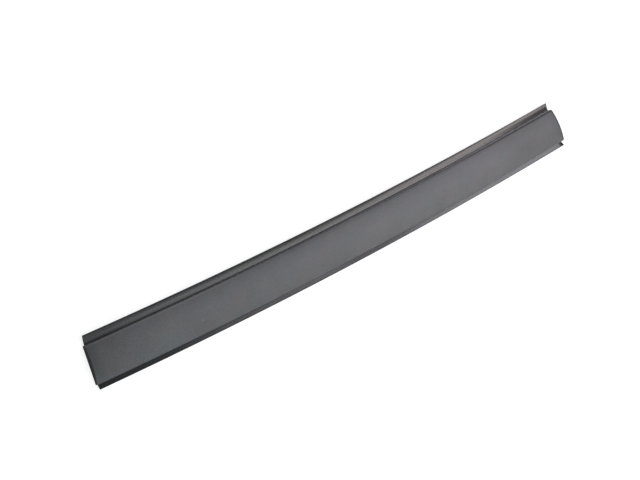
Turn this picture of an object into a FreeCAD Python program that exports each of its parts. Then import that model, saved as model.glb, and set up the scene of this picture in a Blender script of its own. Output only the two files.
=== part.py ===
"""Roof moulding: one long moulded strip that covers the seam of a vehicle roof.

The strip has a crowned middle panel, a wide thin lip along one side, a narrow lip
along the other and a short tongue of bare panel at each end. Seen from above it
bows gently, so every long form is its section turned about a far upright axis.

Frame: X along the strip, Y across it towards the wide lip, Z up. The origin is on
the flat underside, at the middle of the length, on the panel's middle line.
"""
import FreeCAD, Part

import math
import os

import Sketcher
from FreeCAD import Placement, Rotation, Vector

# Driving dimensions, in millimetres and degrees
SIZES = {
    # whole strip, measured along its middle line
    "strip_length": 642.0,
    "bow_radius": 7500.0,
    # how far each end's cut leans from square, towards the far end on the wide lip's side
    "near_end_lean": 1.0,
    "far_end_lean": -3.4,
    # crowned panel
    "panel_width": 36.2,
    "crown_rise": 2.5,
    "panel_edge_radius": 0.6,
    # bevel that starts at mid-length and eats into the panel's wide side up to the far end
    "bevel_drift": 1.25,
    "bevel_drop": 0.85,
    # tongues, the panel ends that stand past the lips
    "near_tongue": 1.4,
    "far_tongue": 4.3,
    "near_corner_radius": 0.8,
    "far_corner_radius": 1.4,
    # both lips
    "lip_thickness": 1.1,
    "lip_edge_radius": 0.3,
    # wide lip, curled up towards its edge, whose root stands clear of the underside
    "wide_lip_lift": 0.7,
    "wide_lip_width": 7.5,
    "wide_lip_rise": 1.9,
    "wide_lip_radius": 22.0,
    # crease and ledge, the two steps from the wide lip's root up to the panel's edge
    "crease_depth": 0.5,
    "ledge_width": 1.2,
    "ledge_step": 0.9,
    # narrow lip, and the step from its root up to the panel's edge
    "narrow_lip_lift": 0.4,
    "narrow_lip_step": 0.7,
    "narrow_lip_width": 4.2,
    "narrow_lip_rise": 1.6,
    "narrow_lip_radius": 20.0,
    # hollow underside
    "crown_wall": 2.0,
    "side_wall": 4.0,
    "end_wall": 2.4,
    # clip channel, a slot with two hooked rails under the crown
    "channel_width": 14.0,
    "channel_mouth": 9.0,
    "hook_thickness": 1.1,
    "rail_thickness": 1.6,
    # bays between the cross ribs, on each side of the clip channel
    "bay_count": 12,
    "rib_thickness": 1.5,
}

# Shapes that are joined or cut run this far into or past each other
OVERLAP = 0.8
# Points closer together than this count as one
NEAR = 0.01

# Expressions on the sheet that several forms share
HALF_PANEL = "(Sizes.panel_width / 2)"
WIDE_ROOT = f"({HALF_PANEL} + Sizes.ledge_width)"
CREASE_HEIGHT = "(Sizes.wide_lip_lift + Sizes.lip_thickness)"
LEDGE_HEIGHT = f"({CREASE_HEIGHT} + Sizes.crease_depth)"
WIDE_EDGE_HEIGHT = f"({LEDGE_HEIGHT} + Sizes.ledge_step)"
NARROW_ROOT_HEIGHT = "(Sizes.narrow_lip_lift + Sizes.lip_thickness)"
NARROW_EDGE_HEIGHT = f"({NARROW_ROOT_HEIGHT} + Sizes.narrow_lip_step)"
EDGE_CLIMB = f"({WIDE_EDGE_HEIGHT} - {NARROW_EDGE_HEIGHT})"
EDGE_TO_EDGE = f"sqrt(Sizes.panel_width ^ 2 + {EDGE_CLIMB} ^ 2)"
CROWN_RADIUS = f"({EDGE_TO_EDGE} ^ 2 / (8 * Sizes.crown_rise) + Sizes.crown_rise / 2)"
CROWN_DEPTH = f"({CROWN_RADIUS} - Sizes.crown_rise) / {EDGE_TO_EDGE}"
CROWN_ACROSS = f"({EDGE_CLIMB} * {CROWN_DEPTH})"
CROWN_UP = f"({NARROW_EDGE_HEIGHT} + {EDGE_CLIMB} / 2 - Sizes.panel_width * {CROWN_DEPTH})"
INSIDE_RADIUS = f"({CROWN_RADIUS} - Sizes.crown_wall)"
RAIL_OUTSIDE = "(Sizes.channel_width / 2 + Sizes.rail_thickness)"
BAY_OUTSIDE = f"({HALF_PANEL} - Sizes.side_wall)"
REACH = f"({WIDE_ROOT} + Sizes.wide_lip_width + Sizes.narrow_lip_width)"
INSIDE_LENGTH = "(Sizes.strip_length - 2 * Sizes.end_wall)"
BAY_PITCH = f"(({INSIDE_LENGTH} + Sizes.rib_thickness) / Sizes.bay_count)"
BAY_LENGTH = f"({BAY_PITCH} - Sizes.rib_thickness)"
# The bevel's own axis stands this far towards the far end from the bow's
BEVEL_SHIFT = "(2 * Sizes.bevel_drift * Sizes.bow_radius / Sizes.strip_length)"
# The strip is turned this much longer than it ends up, and its ends are cut off
TRIM = f"({REACH} / 2)"

doc = FreeCAD.newDocument("roof_moulding")

sheet = doc.addObject("Spreadsheet::Sheet", "Sizes")
for row, (name, number) in enumerate(SIZES.items(), start=1):
    sheet.set(f"A{row}", name)
    sheet.set(f"B{row}", str(number))
    sheet.setAlias(f"B{row}", name)
doc.recompute()

body = doc.addObject("PartDesign::Body", "roof_moulding")
body.Label = "roof_moulding"


def value(expression):
    """The number that an expression on the sheet's sizes gives now."""
    return float(sheet.evalExpression(expression))


def swing(length):
    """The angle about the bow's axis that spans a length of the strip."""
    return f"({length}) / Sizes.bow_radius * 1 rad"


def bow_sketch(name, role, along="0"):
    """A sketch whose origin is on the bow's axis, turned to a place along the strip.

    On the YZ plane it draws a section of the strip, and its upright axis is the
    bow's. On the XY plane it draws a plan of the strip's end.
    """
    sketch = body.newObject("Sketcher::SketchObject", name)
    plane = next(item for item in body.Origin.OriginFeatures if item.Role == role)
    sketch.AttachmentSupport = [(plane, "")]
    sketch.MapMode = "FlatFace"
    upright = Vector(0, 1, 0) if role == "YZ_Plane" else Vector(0, 0, 1)
    towards_axis = "x" if role == "YZ_Plane" else "y"
    sketch.AttachmentOffset = Placement(Vector(), Rotation(upright, 1))
    sketch.setExpression(f"AttachmentOffset.Base.{towards_axis}", "Sizes.bow_radius")
    sketch.setExpression("AttachmentOffset.Rotation.Angle", swing(along))
    return sketch


def pin(sketch, element, point, across, up):
    """Hold a point of an element at these expressions, each from the sketch's origin."""
    for kind, expression in (("DistanceX", across), ("DistanceY", up)):
        if expression is not None:
            number = value(expression)
            constraint = Sketcher.Constraint(kind, -1, 1, element, point, number)
            index = sketch.addConstraint(constraint)
            sketch.setExpression(f"Constraints[{index}]", expression)


def hold_radius(sketch, element, expression):
    """Give an arc its radius."""
    index = sketch.addConstraint(Sketcher.Constraint("Radius", element, value(expression)))
    sketch.setExpression(f"Constraints[{index}]", expression)


def join(sketch, element, point, other, other_point):
    """Make two end points one."""
    sketch.addConstraint(Sketcher.Constraint("Coincident", element, point, other, other_point))


def from_middle(across):
    """A distance from the panel's middle line, as a section sketch measures it."""
    return f"{across} - Sizes.bow_radius"


def closed_run(sketch, corners):
    """A closed outline of straight lines through corners, given as expressions."""
    points = [Vector(value(across), value(up), 0) for across, up in corners]
    first = sketch.GeometryCount
    for index, point in enumerate(points):
        following = points[(index + 1) % len(points)]
        sketch.addGeometry(Part.LineSegment(point, following), False)
    for index, corner in enumerate(corners):
        previous = first + (index - 1) % len(points)
        join(sketch, previous, 2, first + index, 1)
        pin(sketch, first + index, 1, *corner)


def arched_outline(sketch, corners, radius):
    """An open run of lines through corners, closed by an arc about the crown's centre.

    The first and last corners give only their distance across. Their height is
    where the arc meets them.
    """
    centre_across = value(from_middle(CROWN_ACROSS))
    centre_up = value(CROWN_UP)
    size = value(radius)
    points = []
    for across, up in corners:
        place = value(across)
        if up is None:
            height = centre_up + math.sqrt(size ** 2 - (place - centre_across) ** 2)
        else:
            height = value(up)
        points.append(Vector(place, height, 0))
    first = sketch.GeometryCount
    for start, end in zip(points, points[1:]):
        sketch.addGeometry(Part.LineSegment(start, end), False)
    last = sketch.GeometryCount - 1
    circle = Part.Circle(Vector(centre_across, centre_up, 0), Vector(0, 0, 1), size)
    angles = [math.atan2(spot.y - centre_up, spot.x - centre_across) for spot in (points[-1], points[0])]
    arc = sketch.addGeometry(Part.ArcOfCircle(circle, *angles), False)
    for element in range(first, last):
        join(sketch, element, 2, element + 1, 1)
    join(sketch, last, 2, arc, 1)
    join(sketch, arc, 2, first, 1)
    for index, corner in enumerate(corners[:-1]):
        pin(sketch, first + index, 1, *corner)
    pin(sketch, last, 2, *corners[-1])
    pin(sketch, arc, 3, from_middle(CROWN_ACROSS), CROWN_UP)
    hold_radius(sketch, arc, radius)


def lip_outline(sketch, side, shelf, root, width, rise, radius):
    """A lip that leaves the panel's side and curls up, one thickness all along.

    side is 1 for the wide lip's side and -1 for the other. shelf holds the corners
    of the top from inside the panel to the root, as (distance, height) expressions.
    """
    centre_distance, centre_height = lip_centre(root, width, rise, radius)
    top_radius = value(radius)
    under_radius = top_radius + value("Sizes.lip_thickness")
    root_distance = value(root[0])
    tip_distance = root_distance + value(width)
    tip_height = value(root[1]) + value(rise)
    stretch = under_radius / top_radius
    under_tip = (centre_distance + (tip_distance - centre_distance) * stretch,
                 centre_height + (tip_height - centre_height) * stretch)
    drop = math.sqrt(under_radius ** 2 - (root_distance - centre_distance) ** 2)
    under_root = (root_distance, centre_height - drop)
    inside = value(shelf[0][0])
    offset = value("Sizes.bow_radius")

    def spot(distance, height):
        return Vector(side * distance - offset, height, 0)

    def arc(size, start, end):
        circle = Part.Circle(spot(centre_distance, centre_height), Vector(0, 0, 1), size)
        ends = (start, end) if side > 0 else (end, start)
        angles = [math.atan2(height - centre_height, side * (distance - centre_distance))
                  for distance, height in ends]
        return sketch.addGeometry(Part.ArcOfCircle(circle, *angles), False)

    near, far = (1, 2) if side > 0 else (2, 1)
    tops = [(value(distance), value(height)) for distance, height in shelf + [root]]
    first = sketch.GeometryCount
    for start, end in zip(tops, tops[1:]):
        sketch.addGeometry(Part.LineSegment(spot(*start), spot(*end)), False)
    last_top = sketch.GeometryCount - 1
    top_arc = arc(top_radius, tops[-1], (tip_distance, tip_height))
    tip = sketch.addGeometry(Part.LineSegment(spot(tip_distance, tip_height), spot(*under_tip)), False)
    under_arc = arc(under_radius, under_root, under_tip)
    under = sketch.addGeometry(Part.LineSegment(spot(*under_root), spot(inside, under_root[1])), False)
    back = sketch.addGeometry(Part.LineSegment(spot(inside, under_root[1]), spot(*tops[0])), False)

    for element in range(first, last_top):
        join(sketch, element, 2, element + 1, 1)
    join(sketch, last_top, 2, top_arc, near)
    join(sketch, top_arc, far, tip, 1)
    join(sketch, tip, 2, under_arc, far)
    join(sketch, under_arc, near, under, 1)
    join(sketch, under, 2, back, 1)
    join(sketch, back, 2, first, 1)
    join(sketch, top_arc, 3, under_arc, 3)
    sketch.addConstraint(Sketcher.Constraint("PointOnObject", top_arc, 3, tip))
    sketch.addConstraint(Sketcher.Constraint("Horizontal", under))
    sketch.addConstraint(Sketcher.Constraint("Vertical", back))
    for index, (distance, height) in enumerate(shelf):
        pin(sketch, first + index, 1, from_middle(f"{side} * {distance}"), height)
    pin(sketch, top_arc, near, from_middle(f"{side} * {root[0]}"), root[1])
    pin(sketch, top_arc, far, from_middle(f"{side} * ({root[0]} + {width})"), f"{root[1]} + {rise}")
    pin(sketch, under_arc, near, from_middle(f"{side} * {root[0]}"), None)
    hold_radius(sketch, top_arc, radius)
    hold_radius(sketch, under_arc, f"{radius} + Sizes.lip_thickness")


def lip_centre(root, width, rise, radius):
    """Where the centre of a lip's curl lies, above the line from its root to its tip."""
    run, climb = value(width), value(rise)
    chord = math.hypot(run, climb)
    lift = math.sqrt(value(radius) ** 2 - (chord / 2) ** 2)
    distance = value(root[0]) + run / 2 - climb / chord * lift
    height = value(root[1]) + climb / 2 + run / chord * lift
    return distance, height


def turned(kind, name, sketch, length):
    """A revolution or groove of a section about the bow's axis, even to both sides."""
    feature = body.newObject(kind, name)
    feature.Profile = sketch
    feature.ReferenceAxis = (sketch, ["V_Axis"])
    feature.Midplane = True
    feature.setExpression("Angle", swing(length))
    return feature


def cut_end(name, side, lean, along):
    """Cut off all that lies past a place along the strip, where side is 1 at the far end."""
    sketch = bow_sketch(f"{name}Plan", "XY_Plane", along)
    slant = f"{REACH} * tan({lean} * 1 deg)"
    past = f"{side} * 3 * {TRIM}"
    closed_run(sketch, [(f"-{slant}", f"-Sizes.bow_radius - {REACH}"),
                        (slant, f"-Sizes.bow_radius + {REACH}"),
                        (past, f"-Sizes.bow_radius + {REACH}"),
                        (past, f"-Sizes.bow_radius - {REACH}")])
    pocket = body.newObject("PartDesign::Pocket", name)
    pocket.Profile = sketch
    pocket.Type = "ThroughAll"
    pocket.Midplane = True
    return pocket


def edges_where(feature, test):
    """The names of a feature's edges whose two end points pass a test."""
    names = []
    for number, edge in enumerate(feature.Shape.Edges, start=1):
        ends = [vertex.Point for vertex in edge.Vertexes]
        if len(ends) == 2 and test(ends):
            names.append(f"Edge{number}")
    return names


def distance_across(point):
    """How far a point lies from the panel's middle line, towards the wide lip."""
    bow_radius = value("Sizes.bow_radius")
    return bow_radius - math.hypot(point.x, point.y - bow_radius)


def rounded(name, base, edges, radius):
    """Round these edges of a feature."""
    fillet = body.newObject("PartDesign::Fillet", name)
    fillet.Base = (base, edges)
    fillet.setExpression("Radius", radius)
    return fillet


# Both lips, with the ledge and crease, turned a little long and cut off at each end
lip_section = bow_sketch("LipSection", "YZ_Plane")
lip_outline(lip_section, 1,
            [(f"({HALF_PANEL} - {OVERLAP})", LEDGE_HEIGHT), (WIDE_ROOT, LEDGE_HEIGHT)],
            (WIDE_ROOT, CREASE_HEIGHT),
            "Sizes.wide_lip_width", "Sizes.wide_lip_rise", "Sizes.wide_lip_radius")
lip_outline(lip_section, -1,
            [(f"({HALF_PANEL} - {OVERLAP})", NARROW_ROOT_HEIGHT)],
            (HALF_PANEL, NARROW_ROOT_HEIGHT),
            "Sizes.narrow_lip_width", "Sizes.narrow_lip_rise", "Sizes.narrow_lip_radius")
turned("PartDesign::Revolution", "Lips", lip_section, f"Sizes.strip_length + 2 * {TRIM}")
cut_end("NearLipEnd", -1, "Sizes.near_end_lean", "-Sizes.strip_length / 2 + Sizes.near_tongue")
cut_end("FarLipEnd", 1, "Sizes.far_end_lean", "Sizes.strip_length / 2 - Sizes.far_tongue")

# The crowned panel, which runs past the lips as a tongue at each end
panel_section = bow_sketch("PanelSection", "YZ_Plane")
arched_outline(panel_section,
               [(from_middle(f"-{HALF_PANEL}"), None),
                (from_middle(f"-{HALF_PANEL}"), "0"),
                (from_middle(HALF_PANEL), "0"),
                (from_middle(HALF_PANEL), None)],
               CROWN_RADIUS)
turned("PartDesign::Revolution", "Panel", panel_section, f"Sizes.strip_length + 2 * {TRIM}")
cut_end("NearEnd", -1, "Sizes.near_end_lean", "-Sizes.strip_length / 2")
far_end = cut_end("FarEnd", 1, "Sizes.far_end_lean", "Sizes.strip_length / 2")
doc.recompute()

# Rounded corners of the tongues: the upright edges that stand on the underside
half_panel = value(HALF_PANEL)
corners = far_end
for end_name, side in (("Near", -1), ("Far", 1)):
    corner_edges = edges_where(corners, lambda ends: (
        math.dist((ends[0].x, ends[0].y), (ends[1].x, ends[1].y)) < NEAR
        and min(end.z for end in ends) < NEAR
        and side * ends[0].x > half_panel))
    corners = rounded(f"{end_name}Corners", corners, corner_edges,
                      f"Sizes.{end_name.lower()}_corner_radius")
    doc.recompute()

# The rounded edge all round the crown, picked at its two long sides
crown_radius = value(CROWN_RADIUS)
crown_centre = (value(CROWN_ACROSS), value(CROWN_UP))
crown_edges = edges_where(corners, lambda ends: (
    math.dist(*ends) > 4 * half_panel
    and all(abs(math.dist((distance_across(end), end.z), crown_centre) - crown_radius) < NEAR
            for end in ends)))
rounded("CrownEdge", corners, crown_edges, "Sizes.panel_edge_radius")
doc.recompute()
crown_volume = body.Shape.Volume

# The bevel, turned about an axis of its own, so that it gets wider towards the far end
bevel_section = bow_sketch("BevelSection", "YZ_Plane")
bevel_section.setExpression("AttachmentOffset.Base.z", BEVEL_SHIFT)
bevel_top = f"({WIDE_EDGE_HEIGHT} + Sizes.bevel_drop)"
closed_run(bevel_section,
           [(from_middle(f"({HALF_PANEL} - Sizes.bevel_drift)"), bevel_top),
            (from_middle(f"({HALF_PANEL} + Sizes.bevel_drift)"),
             f"{WIDE_EDGE_HEIGHT} - Sizes.bevel_drop"),
            (from_middle(f"({HALF_PANEL} + Sizes.bevel_drift)"), bevel_top)])
bevel = turned("PartDesign::Groove", "Bevel", bevel_section, f"Sizes.strip_length + 2 * {TRIM}")
doc.recompute()
bevel_volume = body.Shape.Volume

# Softened outer edges of both lips
wide_lip_middle = value(f"{WIDE_ROOT} + Sizes.wide_lip_width / 2")
narrow_lip_middle = -value(f"{HALF_PANEL} + Sizes.narrow_lip_width / 2")
lip_edges = edges_where(bevel, lambda ends: (
    math.dist(ends[0], ends[1]) > half_panel
    and not narrow_lip_middle < distance_across(ends[0]) < wide_lip_middle))
rounded("LipEdges", bevel, lip_edges, "Sizes.lip_edge_radius")
doc.recompute()
solid_volume = body.Shape.Volume

# The clip channel: a slot whose mouth is narrowed by the hooks of its two rails
channel_side = "Sizes.channel_width / 2"
mouth_side = "Sizes.channel_mouth / 2"
channel_section = bow_sketch("ChannelSection", "YZ_Plane")
arched_outline(channel_section,
               [(from_middle(f"-{channel_side}"), None),
                (from_middle(f"-{channel_side}"), "Sizes.hook_thickness"),
                (from_middle(f"-{mouth_side}"), "Sizes.hook_thickness"),
                (from_middle(f"-{mouth_side}"), f"-{OVERLAP}"),
                (from_middle(mouth_side), f"-{OVERLAP}"),
                (from_middle(mouth_side), "Sizes.hook_thickness"),
                (from_middle(channel_side), "Sizes.hook_thickness"),
                (from_middle(channel_side), None)],
               INSIDE_RADIUS)
turned("PartDesign::Groove", "ClipChannel", channel_section, INSIDE_LENGTH)
doc.recompute()
channel_volume = body.Shape.Volume

# Lightening bays on each side of the channel, with a cross rib between each two
bay_section = bow_sketch("BaySection", "YZ_Plane", f"-{INSIDE_LENGTH} / 2 + {BAY_LENGTH} / 2")
for low, high in ((f"-{BAY_OUTSIDE}", f"-{RAIL_OUTSIDE}"), (RAIL_OUTSIDE, BAY_OUTSIDE)):
    arched_outline(bay_section,
                   [(from_middle(low), None),
                    (from_middle(low), f"-{OVERLAP}"),
                    (from_middle(high), f"-{OVERLAP}"),
                    (from_middle(high), None)],
                   INSIDE_RADIUS)
first_bay = turned("PartDesign::Groove", "FirstBay", bay_section, BAY_LENGTH)
doc.recompute()
first_bay_volume = channel_volume - body.Shape.Volume

bays = body.newObject("PartDesign::PolarPattern", "Bays")
bays.Originals = [first_bay]
bays.Axis = (bay_section, ["V_Axis"])
bays.Mode = "Spacing"
bays.setExpression("Offset", swing(BAY_PITCH))
bays.setExpression("Occurrences", "Sizes.bay_count")
body.Tip = bays
doc.recompute()

# A cut that points away from the solid removes nothing and shows no error
bays_volume = channel_volume - body.Shape.Volume
if not crown_volume > bevel_volume > solid_volume > channel_volume > body.Shape.Volume > 0:
    raise RuntimeError("the bevel, the channel or the bays cut nothing")
if abs(bays_volume / (first_bay_volume * value("Sizes.bay_count")) - 1) > NEAR:
    raise RuntimeError("the row of bays is not whole")
for item in doc.Objects:
    if {"Invalid", "Error"} & set(item.State):
        raise RuntimeError(f"{item.Name} failed: {item.State}")
if body.Shape.isNull() or not body.Shape.isValid() or len(body.Shape.Solids) != 1:
    raise RuntimeError(f"{body.Label} is not one valid solid")

os.makedirs("parts", exist_ok=True)
body.Shape.exportStep(f"parts/{body.Label}.step")
print(f"{body.Label}: {body.Shape.Volume / 1000:.1f} cm3")
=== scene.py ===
"""Roof moulding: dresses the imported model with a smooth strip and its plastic, and lights it.

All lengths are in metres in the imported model's own frame: X along the strip, Y across
it towards the wide lip, Z up. Seen from above the strip bows about an upright axis that
lies on Y at the bow radius, so every long form is its section turned about that axis.
"""
import math
from typing import NamedTuple

import bmesh
import bpy
from bpy.props import (FloatProperty, FloatVectorProperty, IntProperty, PointerProperty)
from mathutils import Euler, Matrix, Vector


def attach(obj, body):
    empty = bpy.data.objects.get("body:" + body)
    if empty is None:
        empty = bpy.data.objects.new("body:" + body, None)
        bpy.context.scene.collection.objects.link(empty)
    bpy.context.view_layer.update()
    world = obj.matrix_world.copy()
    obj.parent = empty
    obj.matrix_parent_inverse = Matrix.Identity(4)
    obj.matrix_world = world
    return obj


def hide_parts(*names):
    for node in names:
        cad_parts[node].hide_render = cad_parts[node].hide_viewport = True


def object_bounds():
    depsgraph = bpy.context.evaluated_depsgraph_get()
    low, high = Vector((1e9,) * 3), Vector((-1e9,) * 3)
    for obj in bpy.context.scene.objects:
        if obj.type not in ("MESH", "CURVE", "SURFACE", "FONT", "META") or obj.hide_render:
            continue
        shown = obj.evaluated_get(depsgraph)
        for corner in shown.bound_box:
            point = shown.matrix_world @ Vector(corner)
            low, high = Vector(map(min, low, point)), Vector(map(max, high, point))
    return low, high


bl_info = {
    "name": "Roof moulding",
    "version": (1, 0, 0),
    "blender": (4, 5, 0),
    "location": "View3D > Sidebar > Moulding",
    "description": "Makes a moulded roof strip with crowned panel, lips and ribbed underside",
    "category": "Add Mesh",
}

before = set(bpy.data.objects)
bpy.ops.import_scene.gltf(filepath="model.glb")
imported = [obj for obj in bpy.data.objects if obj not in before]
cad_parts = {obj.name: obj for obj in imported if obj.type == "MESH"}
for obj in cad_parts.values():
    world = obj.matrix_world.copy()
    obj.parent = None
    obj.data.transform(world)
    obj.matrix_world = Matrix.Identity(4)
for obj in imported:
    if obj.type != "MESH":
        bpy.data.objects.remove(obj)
CAD_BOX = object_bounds()
FLOOR_HEIGHT = CAD_BOX[0].z

STRIP = "roof_moulding_strip"
CAD_STRIP = "roof_moulding"
PLASTIC = "moulded_plastic"

MILLIMETRE = 0.001
# Points closer together than this are one
NEAR = 1e-6
# A vertex this close to the crown's arch lies on it
CROWN_NEAR = 0.02 * MILLIMETRE
# Two faces bend at their edge where the cosine between their normals is less than this
BEND_COSINE = 0.7
# Edges that bend less than this are shaded smooth
SMOOTH_ANGLE = math.radians(30)
PLASTIC_IOR = 1.5
# The part of a face's normal at which it starts to count, and from which it fully does
LOOKS_UP = (0.3, 0.7)
LOOKS_DOWN_LITTLE = (-0.5, -0.1)
LOOKS_ALONG = (0.75, 0.95)


def length(name, description, millimetres):
    """A length, given in millimetres, that the sidebar shows in the scene's unit."""
    return FloatProperty(name=name, description=description, default=millimetres * MILLIMETRE,
                         precision=5, subtype="DISTANCE", unit="LENGTH")


def turn(name, description, degrees):
    """An angle, given in degrees."""
    return FloatProperty(name=name, description=description, default=math.radians(degrees),
                         subtype="ANGLE", unit="ROTATION")


def share(name, description, default):
    """A share from none to all."""
    return FloatProperty(name=name, description=description, default=default, min=0.0, max=1.0,
                         subtype="FACTOR")


def count(name, description, default):
    """A whole number of steps or pieces."""
    return IntProperty(name=name, description=description, default=default, min=1)


def colour(name, description, default):
    """A colour without alpha."""
    return FloatVectorProperty(name=name, description=description, default=default,
                               size=3, min=0.0, max=1.0, subtype="COLOR")


def strength(name, description, default):
    """How strong an even light is, where 1 is white in the picture."""
    return FloatProperty(name=name, description=description, default=default, min=0.0)


class StripSizes(bpy.types.PropertyGroup):
    """Sizes of the strip."""

    strip_length: length("Strip length", "Length along the middle line, tongues included", 642.0)
    bow_radius: length("Bow radius", "Radius of the middle line seen from above", 7500.0)
    near_end_lean: turn("Near end lean", "Lean of the near end's cut from square", 1.0)
    far_end_lean: turn("Far end lean", "Lean of the far end's cut from square", -3.4)
    panel_width: length("Panel width", "Width of the crowned panel", 36.2)
    crown_rise: length("Crown rise", "Rise of the crown above the panel's two edges", 2.5)
    panel_edge_radius: length("Panel edge radius", "Rounding of the crown's edge", 0.35)
    bevel_drift: length("Bevel drift", "Reach of the wide side's bevel at the far end", 1.25)
    bevel_drop: length("Bevel drop", "Drop of that bevel over its reach", 0.85)
    near_tongue: length("Near tongue", "Bare panel past the lips at the near end", 1.4)
    far_tongue: length("Far tongue", "Bare panel past the lips at the far end", 4.3)
    near_corner_radius: length("Near corner radius", "Rounding of the near tongue's corners", 0.8)
    far_corner_radius: length("Far corner radius", "Rounding of the far tongue's corners", 1.4)
    lip_thickness: length("Lip thickness", "Thickness of both lips", 1.1)
    lip_edge_radius: length("Lip edge radius", "Rounding of the lips' outer edges", 0.3)
    wide_lip_lift: length("Wide lip lift", "Height of the wide lip's root over the floor", 0.7)
    wide_lip_width: length("Wide lip width", "Reach of the wide lip from its root", 7.5)
    wide_lip_rise: length("Wide lip rise", "Climb of the wide lip to its edge", 1.9)
    wide_lip_radius: length("Wide lip radius", "Radius of the wide lip's hollow curl", 22.0)
    crease_depth: length("Crease depth", "Step down from the ledge to the wide lip", 0.5)
    ledge_width: length("Ledge width", "Width of the ledge beside the panel", 1.2)
    ledge_step: length("Ledge step", "Step up from the ledge to the panel's edge", 0.9)
    ledge_edge_radius: length("Ledge edge radius", "Rounding of the ledge's outer edge", 0.2)
    narrow_lip_lift: length("Narrow lip lift", "Height of the narrow lip's root", 0.4)
    narrow_lip_step: length("Narrow lip step", "Step up from the narrow lip's root", 0.7)
    narrow_lip_width: length("Narrow lip width", "Reach of the narrow lip", 4.2)
    narrow_lip_rise: length("Narrow lip rise", "Climb of the narrow lip to its edge", 1.6)
    narrow_lip_radius: length("Narrow lip radius", "Radius of the narrow lip's curl", 20.0)
    crown_wall: length("Crown wall", "Wall between the crown and the hollow underside", 2.0)
    side_wall: length("Side wall", "Wall beside the bays", 4.0)
    end_wall: length("End wall", "Wall at each end of the hollow underside", 2.4)
    channel_width: length("Channel width", "Width of the clip channel inside", 14.0)
    channel_mouth: length("Channel mouth", "Gap between the channel's hooks", 9.0)
    hook_thickness: length("Hook thickness", "Thickness of the channel's hooks", 1.1)
    rail_thickness: length("Rail thickness", "Wall between the channel and the bays", 1.6)
    bay_count: count("Bays", "Bays on each side of the channel", 12)
    rib_thickness: length("Rib thickness", "Thickness of the ribs between bays", 1.5)
    overlap: length("Overlap", "How far joined forms run into each other", 0.8)
    steps_along: count("Steps along", "Faces along the strip", 44)
    steps_across: count("Steps across", "Faces across the crown", 24)
    steps_lip: count("Steps on a lip", "Faces across a lip's curl", 10)
    steps_round: count("Steps of a rounding", "Faces across a rounded edge", 4)
    steps_corner: count("Steps of a corner", "Faces across a tongue's rounded corner", 6)


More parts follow.
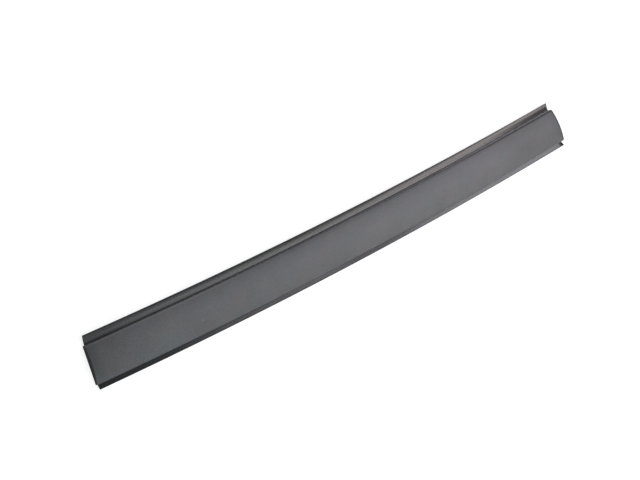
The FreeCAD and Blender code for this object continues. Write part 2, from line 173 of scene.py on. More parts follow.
class PlasticFinish(bpy.types.PropertyGroup):
    """Colours and surface of the moulded plastic, and its painted shade and painted highlights."""

    panel_colour: colour("Panel colour", "Grained upper face of the panel",
                         (0.0525, 0.058, 0.0602))
    blotch_colour: colour("Blotch colour", "Warmer blotches on the panel", (0.058, 0.0563, 0.0591))
    lip_colour: colour("Lip colour", "Smooth plastic of the lips and underside",
                       (0.011, 0.013, 0.014))
    # Besides real dust and the speck, this colour paints highlights on the crown's edges and beside
    # the wide lip's edge
    dust_and_highlight_colour: colour("Dust colour", "Fine dust, the speck and highlit places", (0.32, 0.30, 0.28))
    # The shade colour, roughness and gloss make a darker plastic that paints shade where
    # shade_on_strip puts it
    shade_colour: colour("Shade colour", "Shadowed plastic in the crease and at the lips' ends",
                         (0.0105, 0.0098, 0.0088))

    panel_roughness: share("Panel roughness", "Roughness of the grained face", 0.5)
    lip_roughness: share("Lip roughness", "Roughness of the smooth plastic", 0.24)
    shade_roughness: share("Shade roughness", "Roughness of the dull plastic", 0.7)
    shade_gloss: share("Shade gloss", "How much the dull plastic reflects", 0.15)
    roughness_change: share("Roughness change", "How much the roughness varies", 0.08)
    streak_roughness: share("Streak roughness", "How much it varies with the streaks", 0.12)

    grain_size: length("Grain size", "Size of the panel's fine grain", 0.7)
    grain_depth: length("Grain depth", "Depth of the panel's fine grain", 0.02)
    speckle_size: length("Speckle size", "Size of the panel's speckle", 1.6)
    cloud_size: length("Cloud size", "Size of the broad light and dark patches", 25.0)
    blotch_size: length("Blotch size", "Size of the warmer blotches", 16.0)
    blotch_drift: share("Blotch drift", "How much more the blotches cover at the far end", 0.25)
    streak_size: length("Streak size", "Width of the streaks on the lips", 0.9)
    streak_ratio: share("Streak ratio", "Width of a streak over its length", 0.02)
    wave_size: length("Wave size", "Width of the waves on the lips", 4.0)
    wave_depth: length("Wave depth", "Depth of those waves", 0.03)
    dust_size: length("Dust size", "Size of the patches of dust", 3.0)
    dust_cover: share("Dust cover", "How much the dust hides", 0.12)
    speck_along: length("Speck along", "Place of a light speck along the strip", -196.5)
    speck_across: length("Speck across", "Place of that speck across the strip", -5.3)
    speck_size: length("Speck size", "Radius of that speck", 0.8)
    speck_cover: share("Speck cover", "How much that speck hides", 0.13)

    # The shares below paint shade: how far the darker plastic covers each place
    near_crease_shade: share("Near crease shade", "How dull the crease is, near end", 0.5)
    crease_shade: share("Crease shade", "How dull the crease is, middle", 0.8)
    far_crease_shade: share("Far crease shade", "How dull the crease is, far end", 0.6)
    narrow_crease_shade: share("Narrow crease shade", "How dull the narrow lip's root is", 0.5)
    rim_shade: share("Rim shade", "How dull the panel is beside the crown's wide edge", 0.16)
    edge_shade: share("Edge shade", "How dull the wide lip's edge is", 0.62)
    narrow_edge_shade: share("Narrow edge shade", "How dull the narrow lip's edge is", 0.5)
    far_band_shade: share("Far band shade", "How dull the lip's inside is at the far end", 0.85)
    narrow_band_shade: share("Narrow band shade", "How dull the narrow lip's middle is", 0.2)
    wide_end_shade: share("Wide end shade", "How dull the wide lip is at the far end", 0.3)
    lip_end_shade: share("Lip end shade", "How dull the far ends of the lips are", 0.9)
    near_end_shade: share("Near end shade", "How dull the panel's near end is", 0.22)
    far_end_shade: share("Far end shade", "How dull the panel's far end is", 0.24)
    far_panel_shade: share("Far panel shade", "How dull the panel is in its last fifth", 0.17)
    far_rim_shade: share("Far rim shade", "How dull the rim at the far end is", 0.85)
    cut_shade: share("Cut shade", "How dull the cut faces of both ends are", 0.85)

    # Painted highlights: paler plastic on the crown's two edges and beside the wide lip's edge
    painted_rim_highlight: share("Highlit rim", "How pale the crown's wide edge is, before the middle", 0.16)
    painted_narrow_rim_highlight: share("Highlit narrow rim", "How pale the crown's narrow edge is", 0.045)
    painted_lip_highlight: share("Highlit lip", "How pale the wide lip is beside its edge", 0.05)
    # Painted sheen: the narrow lip takes the panel's paler colour in two stretches
    painted_lip_sheen: share("Pale lip", "How pale the narrow lip is, before the middle", 1.0)
    far_painted_lip_sheen: share("Far pale lip", "How pale the narrow lip is, after the middle", 0.45)


class StudioSettings(bpy.types.PropertyGroup):
    """Camera, floor and lamps."""

    camera_distance: length("Camera distance", "From the aim point to the camera", 1812.49)
    camera_heading: turn("Camera heading", "Compass heading that the camera looks along", 102.932)
    camera_elevation: turn("Camera elevation", "How steeply the camera looks down", 51.272)
    camera_roll: turn("Camera roll", "Roll of the picture", 79.252)
    aim_along: length("Aim along", "Aim point along the strip", -34.80)
    aim_across: length("Aim across", "Aim point across the strip", 12.77)
    lens: FloatProperty(name="Lens", description="Focal length of the camera", default=106.57,
                        unit="CAMERA")
    floor_colour: colour("Floor colour", "Plain pale floor", (0.25, 0.25, 0.25))
    floor_glow: strength("Floor glow", "Light from the floor itself, which keeps shadows faint",
                         0.84)
    floor_roughness: share("Floor roughness", "Roughness of the floor", 0.9)
    floor_gloss: share("Floor gloss", "How much the floor reflects", 0.1)
    floor_size: length("Floor size", "Width of the floor", 30000.0)
    sky_strength: strength("Sky strength", "Even light from all round", 0.2)


def sizes():
    return bpy.context.scene.strip_sizes


def bow_axis():
    return Vector((0, sizes().bow_radius, 0))


def place_on_floor(along, across):
    """The place on the floor at a length along the middle line and a distance across."""
    bow = sizes().bow_radius
    angle = along / bow
    return Vector((math.sin(angle) * (bow - across), bow - math.cos(angle) * (bow - across), 0))


def start_outline(across, up):
    """A new mesh that is one point of the section, in edit mode."""
    bpy.ops.object.select_all(action="DESELECT")
    bpy.ops.mesh.primitive_plane_add(size=MILLIMETRE, location=(0, across, up))
    bpy.ops.object.transform_apply(location=True, rotation=True, scale=True)
    bpy.ops.object.mode_set(mode="EDIT")
    bpy.ops.mesh.select_mode(type="VERT")
    add_point()
    return bpy.context.active_object


def add_point():
    """Shrink the new plane, which is all that is selected, to one point."""
    bpy.ops.mesh.merge(type="CENTER")


def line_by(across, up):
    """Draw a straight line on from the selected point."""
    bpy.ops.mesh.extrude_region_move(TRANSFORM_OT_translate={"value": (0, across, up)})


def arc_about(centre, angle, steps):
    """Draw an arc on from the selected point. Spin turns the other way from the angle."""
    bpy.ops.mesh.spin(steps=steps, angle=-angle, center=(0, *centre), axis=(1, 0, 0))


def fill_outline():
    """Close the outline that was drawn back to its start, and give it a face."""
    bpy.ops.mesh.select_all(action="SELECT")
    bpy.ops.mesh.remove_doubles(threshold=NEAR)
    bpy.ops.mesh.edge_face_add()


def sweep(start, reach, steps):
    """Turn the drawn section into a solid that reaches along the bow from a start."""
    bow = sizes().bow_radius
    bpy.ops.mesh.select_all(action="SELECT")
    # Rotate and spin both turn the other way from their angle
    bpy.ops.transform.rotate(value=-start / bow, orient_axis="Z", orient_type="GLOBAL",
                             center_override=bow_axis())
    bpy.ops.mesh.spin(steps=steps, angle=-reach / bow, center=bow_axis(), axis=(0, 0, 1))
    bpy.ops.mesh.select_all(action="SELECT")
    bpy.ops.mesh.remove_doubles(threshold=NEAR)
    bpy.ops.mesh.normals_make_consistent(inside=False)


def cut_end(side, lean, along):
    """Cut off all that lies past a place along the strip, and close the cut."""
    bow = sizes().bow_radius
    heading = along / bow - lean
    bpy.ops.mesh.select_all(action="SELECT")
    bpy.ops.mesh.bisect(plane_co=place_on_floor(along, 0),
                        plane_no=(side * math.cos(heading), side * math.sin(heading), 0),
                        use_fill=True, clear_outer=True, threshold=NEAR)


def round_edges(picked, radius, steps):
    """Round the edges that pass a test."""
    mesh = bmesh.from_edit_mesh(bpy.context.active_object.data)
    bpy.ops.mesh.select_mode(type="EDGE")
    bpy.ops.mesh.select_all(action="DESELECT")
    found = [edge for edge in mesh.edges if picked(edge)]
    if not found:
        raise RuntimeError("no edge was found to round")
    for edge in found:
        edge.select_set(True)
    bmesh.update_edit_mesh(bpy.context.active_object.data)
    bpy.ops.mesh.bevel(offset_type="OFFSET", offset=radius, segments=steps, profile=0.5,
                       affect="EDGES")
    bpy.ops.mesh.select_mode(type="VERT")


def leave_edit_mode():
    """Go back to whole objects, and return the one that was drawn."""
    bpy.ops.object.mode_set(mode="OBJECT")
    return bpy.context.active_object


def combine(part, tool, operation):
    """Join a tool to a part or cut it away, and remove the tool."""
    bpy.ops.object.select_all(action="DESELECT")
    part.select_set(True)
    bpy.context.view_layer.objects.active = part
    bpy.ops.object.modifier_add(type="BOOLEAN")
    modifier = part.modifiers[-1]
    modifier.operation = operation
    modifier.solver = "EXACT"
    modifier.object = tool
    bpy.ops.object.modifier_apply(modifier=modifier.name)
    bpy.data.objects.remove(tool)


def across_of(point):
    """How far a point lies from the panel's middle line, towards the wide lip."""
    axis = bow_axis()
    return axis.y - math.hypot(point.x, point.y - axis.y)


def along_of(point):
    """How far along the middle line a point lies from the strip's middle."""
    bow = sizes().bow_radius
    return math.atan2(point.x, bow - point.y) * bow


def crown_shape():
    """The crown's centre on the section, its radius, and the heights of its two edges."""
    size = sizes()
    narrow_edge = size.narrow_lip_lift + size.lip_thickness + size.narrow_lip_step
    wide_edge = size.wide_lip_lift + size.lip_thickness + size.crease_depth + size.ledge_step
    climb = wide_edge - narrow_edge
    chord = math.hypot(size.panel_width, climb)
    radius = chord ** 2 / (8 * size.crown_rise) + size.crown_rise / 2
    depth = (radius - size.crown_rise) / chord
    centre = (climb * depth, narrow_edge + climb / 2 - size.panel_width * depth)
    return centre, radius, narrow_edge, wide_edge


def height_on(centre, radius, across):
    """Height of a circle's top at a distance across."""
    return centre[1] + math.sqrt(radius ** 2 - (across - centre[0]) ** 2)


def arch(centre, radius, start, end, steps):
    """Draw the arc over a centre from one distance across to another."""
    first = math.acos((start - centre[0]) / radius)
    last = math.acos((end - centre[0]) / radius)
    arc_about(centre, last - first, steps)


def make_panel():
    """The crowned panel with its tongues, rounded corners and rounded crown edge."""
    size = sizes()
    half = size.panel_width / 2
    centre, radius, narrow_edge, wide_edge = crown_shape()
    # The wall's upper part is a little longer than the rounding takes up
    upper_wall = 1.1 * size.panel_edge_radius
    start_outline(-half, 0)
    line_by(0, narrow_edge)
    arch(centre, radius, -half, half, size.steps_across)
    line_by(0, -upper_wall)
    line_by(0, upper_wall - wide_edge)
    line_by(-size.panel_width, 0)
    fill_outline()
    spare = size.panel_width
    sweep(-size.strip_length / 2 - spare, size.strip_length + 2 * spare, size.steps_along)
    lay_back_wide_side()
    cut_end(-1, size.near_end_lean, -size.strip_length / 2)
    cut_end(1, size.far_end_lean, size.strip_length / 2)
    # Upright edges nearer the middle belong to the long walls, and stay as they are
    corner_zone = size.strip_length / 2.2
    for side, corner_radius in ((-1, size.near_corner_radius), (1, size.far_corner_radius)):
        round_edges(lambda edge: upright(edge) and edge.verts[0].co.x * side > corner_zone,
                    corner_radius, size.steps_corner)
    round_edges(on_crown_border, size.panel_edge_radius, size.steps_round)
    return leave_edit_mode()


def lay_back_wide_side():
    """Lay the top of the wide side back as a bevel, wider and wider towards the far end."""
    size = sizes()
    half = size.panel_width / 2
    centre, radius, _, wide_edge = crown_shape()
    slope = size.bevel_drop / size.bevel_drift
    crown_slope = (half - centre[0]) / (height_on(centre, radius, half) - centre[1])
    panel = bpy.context.active_object.data
    mesh = bmesh.from_edit_mesh(panel)
    for vertex in mesh.verts:
        across = across_of(vertex.co)
        drift = 2 * size.bevel_drift * along_of(vertex.co) / size.strip_length
        if across > 0 and drift > 0 and on_crown(vertex):
            narrowed = across * (1 - drift * slope / (slope - crown_slope) / half)
            vertex.co = place_on_floor(along_of(vertex.co), narrowed)
            vertex.co.z = height_on(centre, radius, narrowed)
        elif across > 0 and drift > 0 and vertex.co.z > NEAR:
            vertex.co.z = min(vertex.co.z, wide_edge - slope * drift)
    bmesh.update_edit_mesh(panel)


def upright(edge):
    """Whether an edge stands straight up."""
    low, high = (vertex.co for vertex in edge.verts)
    return math.hypot(low.x - high.x, low.y - high.y) < NEAR


def on_crown(vertex):
    """Whether a vertex lies on the crown's arch."""
    centre, radius, _, _ = crown_shape()
    place = math.hypot(across_of(vertex.co) - centre[0], vertex.co.z - centre[1])
    return abs(place - radius) < CROWN_NEAR


def on_crown_border(edge):
    """Whether an edge lies between the crown and a face beside it."""
    crowned = [all(on_crown(vertex) for vertex in face.verts) for face in edge.link_faces]
    return sum(crowned) == 1


def make_lip(side, root, top, step, width, rise, radius):
    """A lip that leaves the panel's side and curls up to its edge.

    side is 1 for the wide lip. root and top are the place and height where the curl
    starts, and step is the height of the step there.
    """
    size = sizes()
    inside = size.panel_width / 2 - size.overlap
    chord = math.hypot(width, rise)
    lift = math.sqrt(radius ** 2 - (chord / 2) ** 2)
    centre = (root + width / 2 - rise / chord * lift, top + rise / 2 + width / chord * lift)
    top_start = math.atan2(top - centre[1], root - centre[0])
    top_end = math.atan2(top + rise - centre[1], root + width - centre[0])
    under = radius + size.lip_thickness
    under_root = centre[1] - math.sqrt(under ** 2 - (root - centre[0]) ** 2)
    under_start = math.atan2(under_root - centre[1], root - centre[0])
    turned_centre = (side * centre[0], centre[1])
    start_outline(side * inside, top + step)
    line_by(side * (root - inside), 0)
    if step:
        line_by(0, -step)
    arc_about(turned_centre, side * (top_end - top_start), size.steps_lip)
    line_by(side * math.cos(top_end) * size.lip_thickness, math.sin(top_end) * size.lip_thickness)
    arc_about(turned_centre, side * (under_start - top_end), size.steps_lip)
    line_by(side * (inside - root), 0)
    line_by(0, top + step - under_root)
    fill_outline()
    spare = size.panel_width
    sweep(-size.strip_length / 2 - spare, size.strip_length + 2 * spare, size.steps_along)
    cut_end(-1, size.near_end_lean, -size.strip_length / 2 + size.near_tongue)
    cut_end(1, size.far_end_lean, size.strip_length / 2 - size.far_tongue)
    tip = root + width - size.lip_thickness / 2
    round_edges(lambda edge: runs_along(edge, side, tip), size.lip_edge_radius, size.steps_round)
    if step:
        round_edges(lambda edge: runs_along(edge, side, root - NEAR, top + step / 2),
                    size.ledge_edge_radius, size.steps_round)
    return leave_edit_mode()


def runs_along(edge, side, beyond, above=0.0):
    """Whether an edge runs along the strip past a distance across, and bends."""
    across = [side * across_of(vertex.co) for vertex in edge.verts]
    faces = edge.link_faces
    bends = len(faces) == 2 and faces[0].normal.dot(faces[1].normal) < BEND_COSINE
    level = abs(edge.verts[0].co.z - edge.verts[1].co.z) < NEAR
    long = (edge.verts[0].co - edge.verts[1].co).length > MILLIMETRE
    return bends and level and long and min(across) > beyond and edge.verts[0].co.z > above


def make_channel_core():
    """What the clip channel removes: a slot whose mouth is narrower than its inside."""
    size = sizes()
    centre, radius, _, _ = crown_shape()
    roof = radius - size.crown_wall
    half = size.channel_width / 2
    mouth = size.channel_mouth / 2
    reach = size.strip_length - 2 * size.end_wall
    start_outline(-mouth, -size.overlap)
    line_by(0, size.overlap + size.hook_thickness)
    line_by(mouth - half, 0)
    line_by(0, height_on(centre, roof, -half) - size.hook_thickness)
    arch(centre, roof, -half, half, size.steps_lip)
    line_by(0, size.hook_thickness - height_on(centre, roof, half))
    line_by(mouth - half, 0)
    line_by(0, -size.overlap - size.hook_thickness)
    line_by(-size.channel_mouth, 0)
    fill_outline()
    sweep(-reach / 2, reach, size.steps_along)
    return leave_edit_mode()


def make_bay_cores(side):
    """What the bays on one side of the channel remove, the first copied along the bow."""
    size = sizes()
    centre, radius, _, _ = crown_shape()
    roof = radius - size.crown_wall
    near = side * (size.channel_width / 2 + size.rail_thickness)
    far = side * (size.panel_width / 2 - size.side_wall)
    inside_length = size.strip_length - 2 * size.end_wall
    pitch = (inside_length + size.rib_thickness) / size.bay_count
    start_outline(near, -size.overlap)
    line_by(0, size.overlap + height_on(centre, roof, near))
    arch(centre, roof, near, far, size.steps_round)
    line_by(0, -size.overlap - height_on(centre, roof, far))
    line_by(near - far, 0)
    fill_outline()
    sweep(-inside_length / 2, pitch - size.rib_thickness, size.steps_round)
    copies = size.bay_count - 1
    bpy.ops.mesh.spin(steps=copies, dupli=True, angle=-copies * pitch / size.bow_radius,
                      center=bow_axis(), axis=(0, 0, 1))
    return leave_edit_mode()


def check_closed(part):
    """A strip with a hole in its skin is no solid."""
    mesh = bmesh.new()
    mesh.from_mesh(part.data)
    loose = [edge for edge in mesh.edges if not edge.is_manifold]
    volume = mesh.calc_volume()
    mesh.free()
    if loose or volume <= 0:
        raise RuntimeError(f"{part.name}: {len(loose)} open edges, volume {volume}")


class Field:
    """A node's output that Python's own signs can work on."""

    def __init__(self, shader, socket):
        self.shader = shader
        self.socket = socket

    def __add__(self, other):
        return self.shader.maths("ADD", self, other)

    __radd__ = __add__

    def __sub__(self, other):
        return self.shader.maths("SUBTRACT", self, other)

    def __rsub__(self, other):
        return self.shader.maths("SUBTRACT", other, self)

    def __mul__(self, other):
        return self.shader.maths("MULTIPLY", self, other)

    __rmul__ = __mul__

    def __abs__(self):
        return self.shader.maths("ABSOLUTE", self)


class Shader:
    """A material's nodes, made one at a time."""

    def __init__(self, name):
        self.material = bpy.data.materials.new(name)
        self.material.use_nodes = True
        self.tree = self.material.node_tree
        self.tree.nodes.clear()

    def node(self, kind, settings, inputs, output=0):
        """Add a node, with its settings first, and return one of its outputs, if it has any."""
        made = self.tree.nodes.new(kind)
        for key, setting in settings.items():
            setattr(made, key, setting)
        pairs = inputs.items() if isinstance(inputs, dict) else enumerate(inputs)
        for key, value in pairs:
            if isinstance(value, Field):
                self.tree.links.new(value.socket, made.inputs[key])
            else:
                made.inputs[key].default_value = value
        return Field(self, made.outputs[output]) if made.outputs else None

    def maths(self, operation, *values):
        return self.node("ShaderNodeMath", {"operation": operation}, values)

    def part(self, vector, axis):
        """One of a vector's three numbers."""
        return self.node("ShaderNodeSeparateXYZ", {}, [vector], axis)

    def fade(self, value, start, end):
        """0 up to start and 1 from end, smooth between. start may be the larger."""
        inputs = {"Value": value, "From Min": start, "From Max": end}
        settings = {"interpolation_type": "SMOOTHSTEP"}
        return self.node("ShaderNodeMapRange", settings, inputs)

    def band(self, value, start, end, soft):
        """1 between start and end and 0 outside, over a soft border at each."""
        return (self.fade(value, start - soft, start + soft)
                * self.fade(value, end + soft, end - soft))

    def noise(self, place, size, detail, roughness=0.5):
        """Noise whose features are about a size across."""
        inputs = {"Vector": place, "Scale": 1 / size, "Detail": detail, "Roughness": roughness}
        return self.node("ShaderNodeTexNoise", {}, inputs)

    def mix(self, share, first, second):
        """A colour between two, each a colour or a field."""
        first, second = (pad(value) for value in (first, second))
        settings = {"data_type": "RGBA"}
        # The node has sockets of one name for each kind of data, so these go by number
        return self.node("ShaderNodeMix", settings, {0: share, 6: first, 7: second}, 2)

    def scale(self, colour_field, factor):
        """A colour made lighter or darker by a number."""
        settings = {"operation": "SCALE"}
        return self.node("ShaderNodeVectorMath", settings, {0: colour_field, "Scale": factor})


def pad(value):
    """A colour with its alpha, or a field as it is."""
    return value if isinstance(value, Field) else (*value, 1)


class Places(NamedTuple):
    """Where a point of the strip lies, as fields.

    across is in metres from the middle line, and way is a share of the strip's length
    from the middle, from -0.5 to 0.5. All the others are in millimetres: out past the
    crown's wide edge, its narrow edge or either, in from the wide and the narrow lip's
    edge, before the lips' far ends, and out past the far end's slanted cut.
    """

    across: Field
    way: Field
    past_wide: Field
    past_narrow: Field
    past_either: Field
    in_wide_lip: Field
    in_narrow_lip: Field
    before_lip_end: Field
    past_far_cut: Field


def find_places(shader, place):
    """Measure a point from the bow's axis and from the strip's own lines."""
    size = sizes()
    per_millimetre = 1 / MILLIMETRE
    half = size.panel_width / 2
    wide_edge = half + size.ledge_width + size.wide_lip_width
    narrow_edge = half + size.narrow_lip_width
    lip_end = size.strip_length / 2 - size.far_tongue
    cut = place_on_floor(size.strip_length / 2, 0)
    cut_heading = size.strip_length / 2 / size.bow_radius - size.far_end_lean
    along = shader.part(place, "X")
    sideways = shader.part(place, "Y")
    from_axis = shader.node("ShaderNodeCombineXYZ", {}, [along, sideways - size.bow_radius, 0.0])
    reach = shader.node("ShaderNodeVectorMath", {"operation": "LENGTH"}, [from_axis], "Value")
    across = size.bow_radius - reach
    past_far_cut = ((along - cut.x) * math.cos(cut_heading)
                    + (sideways - cut.y) * math.sin(cut_heading))
    return Places(
        across=across,
        way=along * (1 / size.strip_length),
        past_wide=(across - half) * per_millimetre,
        past_narrow=(-half - across) * per_millimetre,
        past_either=(abs(across) - half) * per_millimetre,
        in_wide_lip=(wide_edge - across) * per_millimetre,
        in_narrow_lip=(across + narrow_edge) * per_millimetre,
        before_lip_end=(lip_end - along) * per_millimetre,
        past_far_cut=past_far_cut * per_millimetre)


def make_plastic():
    """Black moulded plastic: grained on top of the panel and smooth elsewhere, with painted shade
    and painted highlights mixed in.
    """
    finish = bpy.context.scene.plastic_finish
    shader = Shader(PLASTIC)
    place = shader.node("ShaderNodeTexCoord", {}, {}, "Object")
    facing = shader.node("ShaderNodeTexCoord", {}, {}, "Normal")
    facing_up = shader.part(facing, "Z")
    places = find_places(shader, place)
    on_panel = shader.fade(places.past_wide, 0.2, 0.05) * shader.fade(places.past_narrow, 0.1, -0.4)
    grained = on_panel * shader.fade(facing_up, *LOOKS_DOWN_LITTLE)

    cloud = shader.noise(place, finish.cloud_size, detail=3.0)
    speckle = shader.noise(place, finish.speckle_size, detail=2.0)
    streak_place = shader.node("ShaderNodeCombineXYZ", {}, [
        places.way * (sizes().strip_length * finish.streak_ratio), places.across, 0.0])
    streak = shader.noise(streak_place, finish.streak_size, detail=2.0)
    blotch = shader.fade(shader.noise(place, finish.blotch_size, detail=1.0)
                         + places.way * finish.blotch_drift, 0.4, 0.6)

    # The noises are about a half on average, so both factors are about 1
    panel_shade = 0.3 + 0.5 * cloud + 0.9 * speckle
    lip_shade = 0.8 + 0.4 * streak
    panel_colour = shader.scale(shader.mix(blotch, finish.panel_colour, finish.blotch_colour),
                                panel_shade)
    lip_colour = shader.scale(finish.lip_colour, lip_shade)
    # The narrow lip's painted sheen: it takes the panel's colour in two stretches
    moulded = shader.mix(grained + painted_sheen_on_lip(shader, places), lip_colour, panel_colour)
    # Real dust and the speck, plus painted highlights on the crown's edges and beside the wide
    # lip's edge
    cover = (dust_on_top(shader, place, facing_up) + speck_on_panel(shader, place)
             + painted_highlight_on_strip(shader, places))
    base = shader.mix(cover, moulded, finish.dust_and_highlight_colour)

    rough_panel = finish.panel_roughness + finish.roughness_change * (speckle - 0.5)
    rough_lip = (finish.lip_roughness + finish.streak_roughness * (streak - 0.5)
                 + finish.roughness_change * (cloud - 0.5))
    roughness = rough_lip + grained * (rough_panel - rough_lip)

    grain = shader.noise(place, finish.grain_size, detail=3.0, roughness=0.6)
    waves = shader.noise(streak_place, finish.wave_size, detail=1.0)
    relief = grained * grain * finish.grain_depth + (1 - grained) * waves * finish.wave_depth
    normal = shader.node("ShaderNodeBump", {},
                         {"Strength": 1.0, "Distance": 1.0, "Height": relief})
    plastic = shader.node("ShaderNodeBsdfPrincipled", {}, {
        "Base Color": base, "Roughness": roughness, "IOR": PLASTIC_IOR, "Normal": normal})
    # A darker, rougher plastic that stands in for shade; mixing it in paints shade on the strip
    shadowed = shader.node("ShaderNodeBsdfPrincipled", {}, {
        "Base Color": pad(finish.shade_colour), "Roughness": finish.shade_roughness,
        "Specular IOR Level": finish.shade_gloss})
    shade = shade_on_strip(shader, places, shader.part(facing, "X"))
    surface = shader.node("ShaderNodeMixShader", {}, [shade, plastic, shadowed])
    shader.node("ShaderNodeOutputMaterial", {}, {"Surface": surface})
    return shader.material


def dust_on_top(shader, place, facing_up):
    """How much dust hides the plastic, on faces that look up."""
    finish = bpy.context.scene.plastic_finish
    patches = shader.noise(place, finish.dust_size, detail=4.0, roughness=0.7)
    return shader.fade(patches, 0.62, 0.8) * shader.fade(facing_up, *LOOKS_UP) * finish.dust_cover


def speck_on_panel(shader, place):
    """How much the one light speck hides, fading out to twice its radius."""
    finish = bpy.context.scene.plastic_finish
    middle = place_on_floor(finish.speck_along, finish.speck_across)
    middle.z = 2 * sizes().crown_rise
    distance = shader.node("ShaderNodeVectorMath", {"operation": "DISTANCE"}, [place, middle],
                           "Value")
    return shader.fade(distance, 2 * finish.speck_size, finish.speck_size) * finish.speck_cover


def painted_sheen_on_lip(shader, places):
    """How pale the narrow lip is, as a painted sheen: as the panel before the middle, and less so
    after it.
    """
    finish = bpy.context.scene.plastic_finish
    before = shader.fade(places.way, -0.4, -0.25) * shader.fade(places.way, 0.02, -0.06)
    after = shader.fade(places.way, 0.1, 0.16) * shader.fade(places.way, 0.36, 0.26)
    return (shader.fade(places.past_narrow, 0.0, 0.6)
            * (before * finish.painted_lip_sheen + after * finish.far_painted_lip_sheen))


def painted_highlight_on_strip(shader, places):
    """How much painted highlight pales the plastic, on the crown's edges and beside the wide lip's
    edge.
    """
    finish = bpy.context.scene.plastic_finish
    rim = (shader.fade(places.past_wide, -2.2, -0.8) * shader.fade(places.past_wide, 0.1, -0.1)
           * shader.fade(places.way, -0.1, -0.32) * finish.painted_rim_highlight)
    narrow_rim = (shader.fade(places.past_narrow, -1.8, -0.7)
                  * shader.fade(places.past_narrow, 0.3, -0.1)
                  * shader.fade(places.way, -0.35, -0.2) * shader.fade(places.way, 0.2, 0.05)
                  * finish.painted_narrow_rim_highlight)
    lip = (shader.fade(places.in_wide_lip, 3.6, 2.4) * shader.fade(places.in_wide_lip, 0.8, 1.8)
           * shader.fade(places.way, 0.28, 0.1) * finish.painted_lip_highlight)
    return rim + narrow_rim + lip


def shade_on_strip(shader, places, facing_along):
    """How much painted shade darkens the plastic: in the crease, on the lips' edges and at the
    strip's ends.

    Where several patches of painted shade meet, the deepest counts.
    """
    finish = bpy.context.scene.plastic_finish
    ledge = sizes().ledge_width / MILLIMETRE
    lip_width = sizes().wide_lip_width / MILLIMETRE
    middle = shader.fade(places.way, -0.4, 0.0)
    far = shader.fade(places.way, 0.15, 0.4)
    very_far = shader.fade(places.way, 0.3, 0.48)

    crease = (shader.band(places.past_wide, 0.3 - 0.12 * middle, ledge + 0.4 + 0.4 * middle, 0.25)
              * (finish.near_crease_shade
                 + middle * (finish.crease_shade - finish.near_crease_shade)
                 + far * (finish.far_crease_shade - finish.crease_shade)))
    narrow_crease = (shader.band(places.past_narrow, 0.0, 2.0, 0.4)
                     * shader.fade(places.way, 0.05, -0.5) * finish.narrow_crease_shade)
    rim = (shader.band(places.past_wide, -3.0, -1.4, 0.5)
           * shader.fade(places.way, -0.3, -0.1) * finish.rim_shade)
    edge = (shader.fade(places.in_wide_lip, 1.6, 0.4) * (1 - 0.8 * very_far) * finish.edge_shade)
    narrow_edge = shader.fade(places.in_narrow_lip, 0.8, 0.2) * finish.narrow_edge_shade
    far_band = (shader.band(places.past_wide, ledge + 0.6, ledge + 0.6 * lip_width, 0.8)
                * very_far * finish.far_band_shade)
    narrow_band = (shader.fade(places.past_narrow, 0.0, 0.3)
                   * shader.band(places.way, -0.03, 0.11, 0.04) * finish.narrow_band_shade)
    wide_end = (shader.fade(places.past_wide, 0.0, ledge)
                * shader.fade(places.way, 0.38, 0.485) * finish.wide_end_shade)
    lip_ends = (shader.fade(places.past_either, 0.0, 0.6)
                * shader.fade(places.before_lip_end, 6.0, 1.0) * finish.lip_end_shade)
    near_end = shader.fade(places.way, -0.36, -0.5) * finish.near_end_shade
    far_end = shader.fade(places.way, 0.44, 0.5) * finish.far_end_shade
    far_panel = (shader.fade(places.past_either, 0.0, -1.0)
                 * shader.fade(places.way, 0.28, 0.46) * finish.far_panel_shade)
    far_rim = shader.fade(places.past_far_cut, -2.6, -1.0) * finish.far_rim_shade
    cuts = shader.fade(abs(facing_along), *LOOKS_ALONG) * finish.cut_shade

    # Every patch is painted shade; where they overlap the deepest counts
    deepest_shade = crease
    for patch in (narrow_crease, rim, edge, narrow_edge, far_band, narrow_band, wide_end,
                  lip_ends, near_end, far_end, far_panel, far_rim, cuts):
        deepest_shade = shader.maths("MAXIMUM", deepest_shade, patch)
    return deepest_shade


class MOULDING_OT_make_strip(bpy.types.Operator):
    """Make the moulded strip: panel, lips, clip channel and bays in one piece"""
    bl_idname = "moulding.make_strip"
    bl_label = "Make Strip"

    def execute(self, context):
        size = sizes()
        strip = make_panel()
        wide_top = size.wide_lip_lift + size.lip_thickness
        narrow_top = size.narrow_lip_lift + size.lip_thickness
        half = size.panel_width / 2
        wide_lip = make_lip(1, half + size.ledge_width, wide_top, size.crease_depth,
                            size.wide_lip_width, size.wide_lip_rise, size.wide_lip_radius)
        combine(strip, wide_lip, "UNION")
        narrow_lip = make_lip(-1, half, narrow_top, 0.0, size.narrow_lip_width,
                              size.narrow_lip_rise, size.narrow_lip_radius)
        combine(strip, narrow_lip, "UNION")
        combine(strip, make_channel_core(), "DIFFERENCE")
        for side in (-1, 1):
            combine(strip, make_bay_cores(side), "DIFFERENCE")
        check_closed(strip)
        bpy.ops.object.shade_smooth_by_angle(angle=SMOOTH_ANGLE)
        strip.name = STRIP
        strip.data.materials.clear()
        strip.data.materials.append(make_plastic())
        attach(strip, "root")
        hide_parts(CAD_STRIP)
        return {"FINISHED"}


class Softbox(NamedTuple):
    """A soft lamp that faces the strip.

    Its heading runs from +X towards +Y and, like its elevation, is in degrees. Lamps of
    the same brightness look equally bright, whatever their size.
    """

    heading: float
    elevation: float
    width: float
    height: float
    brightness: float
    tint: tuple


WHITE = (1.0, 1.0, 1.0)
VIOLET = (0.96, 0.93, 1.0)
WARM = (1.0, 0.89, 0.88)
COOL = (0.9, 0.97, 1.0)
SKY_TINT = (0.88, 0.97, 1.0)

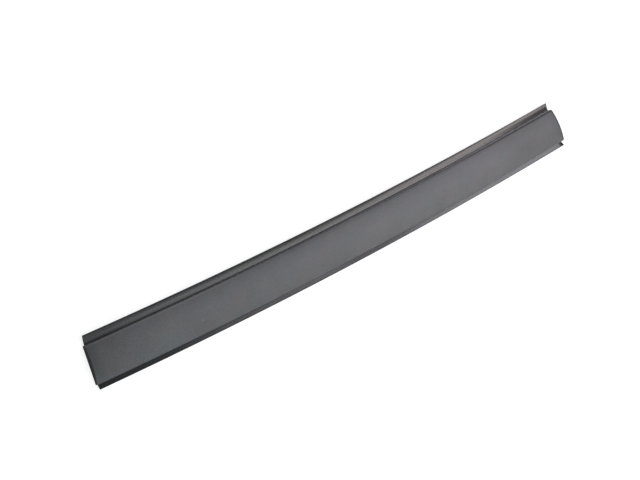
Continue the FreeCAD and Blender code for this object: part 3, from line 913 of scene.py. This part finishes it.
LAMP_DISTANCE = 2.6
SOFTBOXES = {
    "key_softbox": Softbox(-7.5, 47.0, 0.94, 0.59, 12.2, VIOLET),
    "key_wing": Softbox(22.5, 47.0, 0.94, 0.59, 1.7, WARM),
    "lip_softbox": Softbox(-37.5, 47.0, 0.94, 0.59, 2.9, WHITE),
    "end_softbox": Softbox(15.0, 34.0, 1.76, 0.59, 6.1, VIOLET),
    "edge_softbox": Softbox(-30.0, 27.5, 0.61, 1.2, 4.5, WARM),
    "low_softbox": Softbox(-37.5, 8.0, 1.38, 0.59, 2.9, COOL),
    "side_softbox": Softbox(-90.0, 30.0, 1.62, 1.89, 5.0, COOL),
}


def add_softbox(name, softbox):
    """Add a lamp that faces the middle of the strip."""
    heading, elevation = math.radians(softbox.heading), math.radians(softbox.elevation)
    direction = Vector((math.cos(elevation) * math.cos(heading),
                        math.cos(elevation) * math.sin(heading), math.sin(elevation)))
    bpy.ops.object.light_add(type="AREA", location=direction * LAMP_DISTANCE,
                             rotation=direction.to_track_quat("Z", "Y").to_euler())
    lamp = bpy.context.active_object
    lamp.name = name
    lamp.data.shape = "RECTANGLE"
    lamp.data.size = softbox.width
    lamp.data.size_y = softbox.height
    lamp.data.energy = softbox.brightness * math.pi * softbox.width * softbox.height
    lamp.data.color = softbox.tint


class MOULDING_OT_make_studio(bpy.types.Operator):
    """Make the stage: pale floor, soft lamps and the camera"""
    bl_idname = "moulding.make_studio"
    bl_label = "Make Studio"

    def execute(self, context):
        studio = context.scene.studio_settings
        bpy.ops.object.select_all(action="DESELECT")
        bpy.ops.mesh.primitive_plane_add(size=studio.floor_size, location=(0, 0, FLOOR_HEIGHT))
        bpy.ops.object.transform_apply(location=True)
        floor = context.active_object
        floor.name = "studio_floor"
        paint = Shader("studio_floor")
        surface = paint.node("ShaderNodeBsdfPrincipled", {}, {
            "Base Color": pad(studio.floor_colour), "Roughness": studio.floor_roughness,
            "Specular IOR Level": studio.floor_gloss,
            "Emission Color": pad(WHITE), "Emission Strength": studio.floor_glow})
        paint.node("ShaderNodeOutputMaterial", {}, {"Surface": surface})
        floor.data.materials.append(paint.material)

        world = bpy.data.worlds.new("studio_sky")
        world.use_nodes = True
        sky = world.node_tree.nodes["Background"]
        sky.inputs["Color"].default_value = pad(SKY_TINT)
        sky.inputs["Strength"].default_value = studio.sky_strength
        context.scene.world = world
        context.scene.view_settings.view_transform = "Standard"

        for name, softbox in SOFTBOXES.items():
            add_softbox(name, softbox)

        heading, elevation = studio.camera_heading, studio.camera_elevation
        turned = (Euler((math.pi / 2 - elevation, 0, -heading)).to_matrix()
                  @ Matrix.Rotation(studio.camera_roll, 3, "Z"))
        aim = Vector((studio.aim_along, studio.aim_across, 0))
        bpy.ops.object.camera_add(location=aim + turned.col[2] * studio.camera_distance,
                                  rotation=turned.to_euler())
        camera = context.active_object
        camera.name = "studio_camera"
        camera.data.lens = studio.lens
        camera.data.clip_end = studio.floor_size
        context.scene.camera = camera
        return {"FINISHED"}


class MOULDING_PT_sidebar(bpy.types.Panel):
    """The moulding's sizes, finish and buttons"""
    bl_idname = "MOULDING_PT_sidebar"
    bl_label = "Roof Moulding"
    bl_space_type = "VIEW_3D"
    bl_region_type = "UI"
    bl_category = "Moulding"

    def draw(self, context):
        for operator in OPERATORS:
            self.layout.operator(operator.bl_idname)
        for name in PROPERTY_GROUPS:
            group = getattr(context.scene, name)
            column = self.layout.column(heading=group.bl_rna.description)
            for key in group.bl_rna.properties.keys():
                if key not in ("rna_type", "name"):
                    column.prop(group, key)


OPERATORS = (MOULDING_OT_make_strip, MOULDING_OT_make_studio)
PROPERTY_GROUPS = {
    "strip_sizes": StripSizes,
    "plastic_finish": PlasticFinish,
    "studio_settings": StudioSettings,
}
CLASSES = (*PROPERTY_GROUPS.values(), *OPERATORS, MOULDING_PT_sidebar)


def register():
    for item in CLASSES:
        bpy.utils.register_class(item)
    for name, group in PROPERTY_GROUPS.items():
        setattr(bpy.types.Scene, name, PointerProperty(type=group))


def unregister():
    for name in PROPERTY_GROUPS:
        delattr(bpy.types.Scene, name)
    for item in reversed(CLASSES):
        bpy.utils.unregister_class(item)


def main():
    register()
    bpy.ops.moulding.make_strip()
    bpy.ops.moulding.make_studio()


if __name__ == "__main__":
    main()
